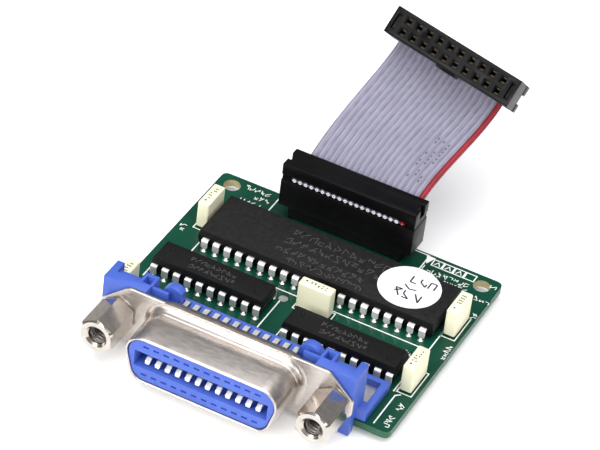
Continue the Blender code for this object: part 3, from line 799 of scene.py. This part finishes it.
# %% Print on the chips
rows_of_print = (  # for each chip: place, number of marks, height
    [(-8.0, 12.6, 13, 1.9), (-8.6, 9.7, 15, 1.9), (-9.0, 6.6, 12, 1.7), (-6.0, 4.2, 12, 1.5)],
    [(-21.4, -6.4, 9, 1.2), (-21.0, -8.4, 9, 1.2)],
    [(9.0, -9.4, 9, 1.2), (9.4, -11.4, 9, 1.2)],
)
onto_chip = Matrix.Translation((0, 0, CHIP_Z1 - BOARD_T - 0.01))
grey = []
for rows in rows_of_print:
    for k, (x, y, count, tall) in enumerate(rows):
        grey += [moved(bm, onto_chip) for bm in marks(x, y, count, tall=tall, seed=30 + k)]
piece("chip_print", gather(grey), CHIP_INK, sharp=80)
print(len(grey), "strokes")

# %% [markdown]
# ## Box capacitors
#
# A film capacitor is wound flat, put in a cream case and potted. The case is a box with softly
# rounded edges, and its value is stamped on top in small dark dots.

# %% Capacitors
for k, (name, (cx, cy, along_y)) in enumerate(CAPACITORS.items()):
    turn = Matrix.Translation((cx, cy, 0)) @ Matrix.Rotation(math.pi / 2 * along_y, 4, "Z")
    case = block(-3.6, 3.6, -1.25, 1.25, 1.9, 8.1)
    bmesh.ops.bevel(
        case, geom=case.edges[:], offset=0.35, segments=4, profile=0.5, affect="EDGES", material=-1
    )
    piece(f"{name}_case", moved(case, turn), CREAM, stands_for=[f"{name}_body"])
    chance = random.Random(20 + k)
    stamped = [disc(-2.3, 0.2, 0.24, 8.09, 8.115, 12)]
    for x in (-1.2, -0.4, 0.4, 1.2, 2.0):
        for y in (-0.35, 0.0, 0.35):
            if chance.random() < 0.72:
                stamped.append(block(x - 0.2, x + 0.16, y - 0.13, y + 0.14, 8.09, 8.112))
    piece(f"{name}_stamp", moved(gather(stamped), turn), STAMP)
print(len(CAPACITORS), "capacitors")

# %% [markdown]
# ## The receptacle
#
# The shell is one drawn sheet: a D-shaped collar with a rolled rim, that flares on a wide radius
# into the flange. A ring of points round the D is carried along Y and moved outwards at each step,
# which gives the rim, the crease and the flare, and the flange is a plate cut to let it through.


# %% The D outline
def turned_corners(corners, radii, steps):
    """A convex outline with each corner turned on its own radius."""
    out = []
    for i, (corner, r) in enumerate(zip(corners, radii)):
        here = Vector(corner)
        back = (Vector(corners[i - 1]) - here).normalized()
        on = (Vector(corners[(i + 1) % len(corners)]) - here).normalized()
        half = back.angle(on) / 2
        centre = here + (back + on).normalized() * (r / math.sin(half))
        first = here + back * (r / math.tan(half)) - centre
        last = here + on * (r / math.tan(half)) - centre
        out += [tuple(centre + first.slerp(last, k / steps) * r) for k in range(steps + 1)]
    return out


def d_ring(y, grow):
    corners = [(-13.9 - grow, -4.65 - grow), (13.9 + grow, -4.65 - grow)]
    corners += [(16.6 + grow, 4.75 + grow), (-16.6 - grow, 4.75 + grow)]
    radii = [2.6 + grow, 2.6 + grow, 3.2 + grow, 3.2 + grow]
    return [(BUS_X + x, y, BUS_Z + z) for x, z in turned_corners(corners, radii, 8)]


# %% Shell and rear shell
FACE_Y, FLANGE_Y0, FLANGE_Y1, JACK_OFFSET = -39.4, -29.3, -28.6, 23.1
steps_out = [(-28.6, 0.14), (FACE_Y + 0.28, 0.14), (FACE_Y + 0.12, 0.18), (FACE_Y + 0.03, 0.26)]
steps_out += [(FACE_Y, 0.38), (FACE_Y + 0.04, 0.5), (FACE_Y + 0.16, 0.6), (FACE_Y + 0.5, 0.68)]
steps_out += [(-34.0, 0.8), (-31.25, 0.82), (-31.1, 0.72), (-30.95, 0.84)]
for k in range(8):
    turn = math.pi / 2 * k / 7
    steps_out.append((-30.6 + 1.25 * math.sin(turn), 0.86 + 1.25 * (1 - math.cos(turn))))
steps_out.append((-28.75, 2.1))
steps_out.append(steps_out[0])
collar = lattice([d_ring(y, grow) for y, grow in steps_out], wrap=True, caps=False)
bmesh.ops.remove_doubles(collar, verts=collar.verts, dist=1e-4)

half = [(27.2, -1.6), (27.2, 1.6), (21.6, 6.7)]
corners = [(21.6, -6.7), *half]
corners += [(-x, z) for x, z in reversed(corners)]
outline = turned_corners(corners, [2.0, 1.6, 1.6, 2.0, 2.0, 1.6, 1.6, 2.0], 6)
rows = [[(BUS_X + x, y, BUS_Z + z) for x, z in outline] for y in (FLANGE_Y0, FLANGE_Y1)]
plate = rounded_edges(lattice(rows, wrap=True), 0.16, 3, 50)
plate = carved(plate, lattice([d_ring(y, 0.5) for y in (-30, -28)], wrap=True))
lie = Matrix.Rotation(math.pi / 2, 4, "X")
for s in (-1, 1):
    plate = carved(plate, moved(disc(BUS_X + s * JACK_OFFSET, BUS_Z, 2.0, 27, 31), lie))
shell = gather([collar, plate])
piece("drawn_shell", shell, NICKEL, stands_for=["receptacle_shell"], sharp=40)

lip = [(-28.5, 0.6), (-26.85, 0.6), (-26.75, 0.7), (-26.75, 1.0), (-26.85, 1.1), (-28.5, 1.1)]
rear = lattice([d_ring(y, grow) for y, grow in [*lip, lip[0]]], wrap=True, caps=False)
bmesh.ops.remove_doubles(rear, verts=rear.verts, dist=1e-4)
piece("rear_stamping", rear, NICKEL, stands_for=["rear_shell"], sharp=50)
print("shell of", len(steps_out), "rings")

# %% [markdown]
# The insert is moulded in the blue that marks this bus. Its slot is as deep as the plug's tongue,
# with a channel for each contact, and the front face has a small moulded window over every one.

# %% Insert and contacts
insert = rounded_edges(copy_of("contact_insert"), 0.12, 2, 40)
channels = []
for x in BUS_TAILS:
    for s in (-1, 1):
        low, high = sorted((BUS_Z + s * 1.8, BUS_Z + s * 2.5))
        channels.append(block(x - 0.66, x + 0.66, -37.2, -31.9, low, high))
insert = carved(insert, gather(channels))
piece("bus_insert", insert, BLUE, stands_for=["contact_insert"], sharp=30)

for side, name in ((-1, "lower"), (1, "upper")):
    level = BUS_Z + side * 1.57
    stations = [
        (-37.95, BUS_Z + side * 1.45, 0.9, 0),
        (-37.85, BUS_Z + side * 1.0, 1.1, 0.2),
        (-37.0, BUS_Z + side * 0.45, 1.1, 0.5),
        (-32.6, level, 1.0, 1.5),
    ]
    if side < 0:
        stations += [(-24.5, level, 0.9, 0.6), (-24.5, 2.2, 0.9, 0), (-24.5, 1.9, 0.5, 0)]
        stations.append((-24.5, TAIL_Z, 0.4, 0))
    else:
        stations += [(-27.6, level, 0.9, 0.4), (-26.7, 9.3, 1.05, 0.4), (-22.1, 9.3, 1.05, 0.6)]
        stations += [(-22.1, 2.2, 1.05, 0), (-22.1, 1.9, 0.5, 0), (-22.1, TAIL_Z, 0.4, 0)]
    row = gather([strip(x, stations, 0.3, 0.07) for x in BUS_TAILS])
    piece(f"{name}_fingers", row, TIN, stands_for=[f"contacts_{name}"])
print("two rows of", len(BUS_TAILS), "contacts")

# %% [markdown]
# ## Bracket and jack sockets
#
# The bracket takes the load of the plug from the solder joints to the board's edge. CAD has its
# posts, ledges and comb, so only its edges change.
#
# A jack socket is turned from hexagonal bar. Each ring of the turned profile is held in by the
# bar's six flats, which leaves the curved edge where the chamfer crosses each flat. Its thread is
# a true helix: a tube whose radius follows a ramp that advances with the turn.

# %% Bracket
bracket = rounded_edges(copy_of("right_angle_bracket"), 0.16, 2, 35)
piece(
    "bracket_moulding", bracket, BLUE, stands_for=["right_angle_bracket"], sharp=30
)

# %% Jack sockets and sleeves
def hexagon(radius, height, flat=3.4, sides=72):
    """A circle of this radius, held in by the six flats of the bar."""
    ring = []
    for k in range(sides):
        angle = 2 * math.pi * k / sides
        from_flat = (angle + math.pi / 6) % (math.pi / 3) - math.pi / 6
        r = min(radius, flat / math.cos(from_flat))
        ring.append((r * math.cos(angle), r * math.sin(angle), height))
    return ring


def thread_helix(start, bore=1.52, depth=0.36, pitch=0.8, turns=7, sides=36):
    rows = []
    for k in range(turns * 6 + 1):
        ring = []
        for j in range(sides):
            phase = (k / 6 - j / sides) % 1
            radius = bore + depth * abs(2 * phase - 1)
            angle = 2 * math.pi * j / sides
            ring.append((radius * math.cos(angle), radius * math.sin(angle), start - k * pitch / 6))
        rows.append(ring)
    return lattice(rows, wrap=True, caps=False)


FRONT, BACK, CORNER, HOLE = 38.2, 0.08 - FLANGE_Y0, 3.95, 1.9
outside = [(0.02, BACK), (3.3, BACK), (CORNER, BACK + 0.35), (CORNER, BACK + 0.4)]
outside += [(CORNER, FRONT - 0.5), (CORNER, FRONT - 0.45), (3.3, FRONT), (3.2, FRONT)]
inside = [(2.5, FRONT), (2.4, FRONT), (HOLE, FRONT - 0.5), (HOLE, FRONT - 0.55), (HOLE, 31.0), (0.02, 31.0)]
sleeve = [(1.72, 24.3), (2.5, 24.3), (2.6, 24.4), (2.6, 26.85), (2.5, 26.95), (1.72, 26.95), (1.72, 24.3)]
for s, place in ((-1, "left"), (1, "right")):
    post = Matrix.Translation((BUS_X + s * JACK_OFFSET, 0, BUS_Z)) @ Matrix.Rotation(math.pi / 2, 4, "X")
    piece(f"thread_{place}", moved(thread_helix(FRONT - 0.65), post), SHADED_NICKEL, sharp=24)
    bar = lattice([hexagon(r, z) for r, z in outside + inside], wrap=True)
    stud = disc(0, 0, 1.6, 24.6, BACK + 0.1, 24)
    piece(
        f"jack_post_{place}",
        moved(gather([bar, stud]), post),
        BRIGHT_NICKEL,
        stands_for=[f"jack_socket_{place}"],
        sharp=20,
    )
    piece(
        f"sleeve_{place}",
        moved(turned(sleeve, 32), post),
        BRIGHT_NICKEL,
        stands_for=[f"threaded_sleeve_{place}"],
    )
print("jack sockets", round(FRONT - BACK, 2), "mm long")

# %% [markdown]
# ## Ribbon sockets
#
# A ribbon socket is two mouldings that close on the cable like jaws. CAD has the holes, the latch
# slots and the polarising key. Rounding gives the thin bright line along every edge of the black
# plastic, and a row of small ridges in each jaw keeps the wires at their pitch.


# %% Sockets
def socket_frame(centre, row, short):
    """u along the row, v towards the ribbon's exit, w away from the mating face."""
    row = row.normalized()
    away = row.cross(short).normalized()
    turn = Matrix((row, away.cross(row), away)).transposed().to_4x4()
    return Matrix.Translation(centre) @ turn


FAR_ROW, FAR_SHORT = Vector((0.981, -0.065, -0.181)), Vector((0.179, 0.653, 0.736))
NEAR = socket_frame(PLUG, Vector((1, 0, 0)), Vector((0, 1, 0)))
FAR = socket_frame(Vector((5.0, 49.3, 33.0)), FAR_ROW, -FAR_SHORT)
RIBBON_PITCH, RIBBON_W = 1.27, 6.95
US = spaced(20, RIBBON_PITCH)

far_pieces = []
for name, place, body in (("board_socket", NEAR, "cable"), ("far_socket", FAR, "cable_end")):
    lower = rounded_edges(copy_of(f"{name}_body"), 0.1, 2, 40)
    low = piece(f"{name}_housing", lower, BLACK, body, [f"{name}_body"], 30)
    jaw = rounded_edges(copy_of(f"{name}_cover"), 0.14, 2, 40)
    combs = []
    for u in [US[0] - RIBBON_PITCH / 2, *[wire + RIBBON_PITCH / 2 for wire in US]]:
        for w in (6.36, 7.45):
            combs.append(block(u - 0.13, u + 0.13, -2.9, 2.9, w, w + 0.28))
    for s in (-1, 1):
        combs.append(block(*sorted((s * 12.95, s * 14.8)), -2.75, 2.75, 6.3, 7.8))
    ridges = piece(f"{name}_wire_comb", moved(gather(combs), place), BLACK, body)
    top = piece(f"{name}_jaw", jaw, BLACK, body, [f"{name}_cover"], 30)
    if body == "cable_end":
        far_pieces = [low, top, ridges]
        far_pieces += [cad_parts[f"far_socket_{side}_contacts"] for side in ("front", "back")]
print("sockets at", [round(x, 1) for x in PLUG], "and", [round(x, 1) for x in FAR.translation])

# %% [markdown]
# ## Ribbon cable
#
# Twenty insulated wires lie side by side at half the header's pitch, welded by a thin web. The
# last is red, for contact 1. Each wire is its own cord here: a section with a round back and half
# a web on each side, carried along one shared curve. The curve leaves the near socket level,
# rises, and turns to meet the far one, and both ends are cut square inside the sockets.


# %% The route
def route(steps=30):
    """Centre, width direction and thickness direction along the ribbon."""
    near = [NEAR @ Vector((0, v, RIBBON_W)) for v in (-2.8, 0.2, 3.1)]
    far = [FAR @ Vector((0, v, RIBBON_W)) for v in (3.1, 0.2, -2.8)]
    a, d = near[-1], far[0]
    b = a + Vector((0.05, 0.84, 0.54)) * 11.0
    c = d - (far[-1] - far[0]).normalized() * 8.0
    middle = []
    for k in range(1, steps):
        t = k / steps
        middle.append(
            a * (1 - t) ** 3 + b * 3 * t * (1 - t) ** 2 + c * 3 * t * t * (1 - t) + d * t**3
        )
    points = near + middle + far
    near_across, far_across = (f.to_3x3() @ Vector((1, 0, 0)) for f in (NEAR, FAR))
    found = []
    for i, point in enumerate(points):
        t = min(max((i - 2) / steps, 0.0), 1.0)
        across = near_across.lerp(far_across, t * t * (3 - 2 * t))
        first, last = max(i - 1, 0), min(i + 1, len(points) - 1)
        if i <= 2:
            first, last = 0, 1
        elif i >= len(points) - 3:
            first, last = len(points) - 2, len(points) - 1
        along = (points[last] - points[first]).normalized()
        across = (across - along * across.dot(along)).normalized()
        found.append((point, across, across.cross(along)))
    return found


ROUTE = route()
exit_near = NEAR @ Vector((0, 3.1, RIBBON_W))
hinge_start, hinge_end = (0.001 * ROUTE[k][0] for k in (3, len(ROUTE) - 4))

# %% Wires
WIRE_RADIUS, WEB_REACH, WEB_HALF = 0.46, 0.625, 0.16
section = [(-WEB_REACH, WEB_HALF)]
for k in range(7):
    angle = math.radians(158 - k * 136 / 6)
    section.append((WIRE_RADIUS * math.cos(angle), WIRE_RADIUS * math.sin(angle)))
section.append((WEB_REACH, WEB_HALF))
section += [(u, -h) for u, h in reversed(section)]
# Painted shade in the grooves: how far each point of the section lies out on the web, so that the vinyl is
# darkened there.
painted_groove_shade_across = [min(max((abs(u) - 0.33) / 0.3, 0.0), 1.0) for u, h in section]
for i, u in enumerate(US):
    edge = i == len(US) - 1
    rows, centres = [], []
    for point, across, up in ROUTE:
        middle = point + across * u
        centres.append(0.001 * middle)
        rows.append([middle + across * a + up * b for a, b in section])
    wire = piece(
        f"wire_{i + 1:02d}",
        lattice(rows, wrap=True),
        RED_VINYL if edge else GREY_VINYL,
        None,
        ["ribbon_red_wire" if edge else "ribbon_grey_wires"],
        50,
    )
    # The painted groove shade is stored on each point of the wire.
    painted_groove_shade_mask = wire.data.attributes.new("painted_groove_shade_mask", "FLOAT", "POINT")
    painted_groove_shade_mask.data.foreach_set("value", painted_groove_shade_across * len(ROUTE))
    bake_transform(wire)
    length = sum((q - p).length for p, q in zip(centres, centres[1:]))
    0.001 * (exit_near + Vector((1, 0, 0)) * u)
print(len(US), "wires of about", round(1000 * length), "mm")

# %% [markdown]
# The cut ends show in the gap between the jaws as a row of pale dots, each with its tinned core,
# and the wire's maker prints small dashes along the edge.

# %% Wire ends and printed dashes
for name, place, body in (("near", NEAR, "cable"), ("far", FAR, "cable_end")):
    turn = place @ Matrix.Translation((0, -2.86, RIBBON_W)) @ Matrix.Rotation(math.pi / 2, 4, "X")
    skins = [moved(disc(u, 0, 0.36, -0.05, 0.02, 20), turn) for u in US]
    cores = [moved(disc(u, 0, 0.15, -0.03, 0.03, 16), turn) for u in US]
    piece(f"{name}_cut_insulation", gather(skins[:-1]), PAPER, body)
    piece(f"{name}_cut_red_insulation", skins[-1], RED_VINYL, body)
    piece(f"{name}_cut_cores", gather(cores), TIN, body)
flat = [(-0.12, 0.455), (0.12, 0.455), (0.12, 0.48), (-0.12, 0.48)]
dashes = []
chance = random.Random(7)
for k in range(8, 19):
    for i in (15, 16, 17):
        if chance.random() < 0.25:
            continue
        start, end = (
            [point + across * (US[i] + a) + up * b for a, b in flat]
            for point, across, up in ROUTE[k : k + 2]
        )
        dashes.append(lattice([start, [p.lerp(q, 0.55) for p, q in zip(start, end)]], wrap=True))
printed = piece("ribbon_dashes", gather(dashes), STAMP, None)
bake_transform(printed)
print(len(dashes), "dashes")

# %% [markdown]
# ## Label
#
# Someone tested this board and wrote on a round white sticker. The disc is punched paper, a tenth
# of a millimetre thick, and the pen strokes are only strokes, not words.

# %% Label
LABEL = Vector((17.99, 10.1))
sticker = disc(LABEL.x, LABEL.y, 6.4, CHIP_Z1 + 0.01, CHIP_Z1 + 0.1, 72)
piece("round_sticker", sticker, PAPER, stands_for=["round_label"])
pen = marks(2.6, -2.4, 3, 2, 2.2, 41, 0.34) + marks(3.8, 2.6, 3, 2, 2.0, 47, 0.34)
pen.append(line([(-1.2, 0.4), (0.2, -0.6), (1.6, -0.2)], 0.34))
up = Matrix.Translation((LABEL.x, LABEL.y, CHIP_Z1 + 0.1 - BOARD_T))
pen = [moved(bm, up) for bm in pen]
piece("pen_strokes", gather(pen), PEN)
print("label at", tuple(LABEL))

# %% [markdown]
# ## Floor, light and camera
#
# The board lies on a plain pale floor under a large soft box, with a second light in front, a
# weak one on the right and a grey room for the metal to reflect. The camera is a long lens from
# above the front right corner, rolled a little.


# %% Floor and light
def floor_finish():
    m = Finish("pale_floor")
    faint = m.noise(4.0)
    colour = m.mix(faint, (0.9, 0.9, 0.9), (0.93, 0.93, 0.93))
    return m.done(
        Base_Color=colour,
        Roughness=0.8 + 0.1 * faint,
        Emission_Color=colour,
        Emission_Strength=0.22,
    )


ground = bmesh.new()
bmesh.ops.create_grid(ground, x_segments=1, y_segments=1, size=3000)
floor = piece("floor", moved(ground, Matrix.Translation((0, 0, TAIL_Z - 0.02))), floor_finish(), None)

world = bpy.data.worlds.new("studio")
world.use_nodes = True
sky = world.node_tree
around = sky.nodes.new("ShaderNodeTexCoord")
split = sky.nodes.new("ShaderNodeSeparateXYZ")
ramp = sky.nodes.new("ShaderNodeValToRGB")
for stop, (at, colour) in zip(
    ramp.color_ramp.elements, ((0.1, (0.13, 0.12, 0.11)), (0.95, (0.42, 0.42, 0.44)))
):
    stop.position, stop.color = at, (*colour, 1)
sky.links.new(around.outputs["Generated"], split.inputs[0])
sky.links.new(split.outputs["Z"], ramp.inputs[0])
sky.links.new(ramp.outputs[0], sky.nodes["Background"].inputs["Color"])
bpy.context.scene.world = world


def soft_box(name, place, size, power):
    lamp = bpy.data.lights.new(name, "AREA")
    lamp.shape, lamp.size, lamp.energy = "DISK", size, power
    obj = bpy.data.objects.new(name, lamp)
    obj.location = place
    obj.rotation_euler = (Vector((0, 0, 0)) - Vector(place)).to_track_quat("-Z", "Y").to_euler()
    bpy.context.scene.collection.objects.link(obj)


soft_box("overhead_light", (0.05, -0.1, 1.0), 1.4, 12.0)
soft_box("key_light", (-0.35, -0.95, 0.55), 0.6, 8.5)
soft_box("fill_light", (0.85, -0.35, 0.4), 0.6, 2.5)
bpy.context.scene.view_settings.view_transform = "Standard"

# %% Camera
right = Vector((0.88497, 0.45349, 0.10574))
down = Vector((0.35871, -0.51913, -0.77578))
forward = Vector((-0.29691, 0.72447, -0.62208))
camera = bpy.data.objects.new("camera", bpy.data.cameras.new("camera"))
camera.data.lens, camera.data.sensor_width = 197.9, 36.0
camera.data.clip_start, camera.data.clip_end = 0.01, 20.0
turn = Matrix((right, -down, -forward)).transposed().to_4x4()
camera.matrix_world = Matrix.Translation((0.186995, -0.462884, 0.416037)) @ turn
bpy.context.scene.collection.objects.link(camera)
bpy.context.scene.camera = camera
print("camera", [round(x, 3) for x in camera.location])
